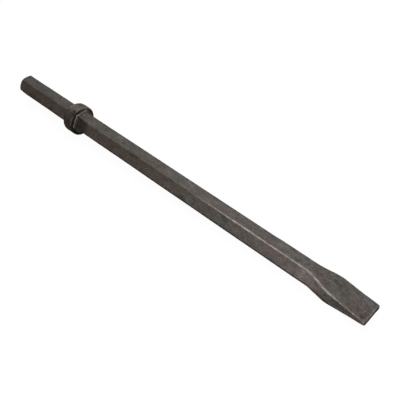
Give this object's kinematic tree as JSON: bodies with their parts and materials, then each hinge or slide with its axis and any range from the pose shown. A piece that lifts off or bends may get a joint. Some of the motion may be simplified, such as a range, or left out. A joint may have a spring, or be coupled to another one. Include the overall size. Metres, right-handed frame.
{
  "type": "pneumatic hammer chisel",
  "caption": "One-piece forged steel chisel for a pneumatic hammer: hexagon shank, round upset collar, hexagon body and a flat wedge blade.",
  "frame": {"origin": "centre of the striking face, at the free end of the shank", "axes": "+X along the bar to the blade's edge, +Z the normal of the blade's upper broad face, Y across the blade"},
  "size_m": [0.5842, 0.0412, 0.0412],
  "materials": {
    "forged_steel": "dark forging scale, satin, mottled brown and grey, with worn edges"
  },
  "bodies": {
    "root": {"forged_chisel": "forged_steel"}
  },
  "joints": []
}
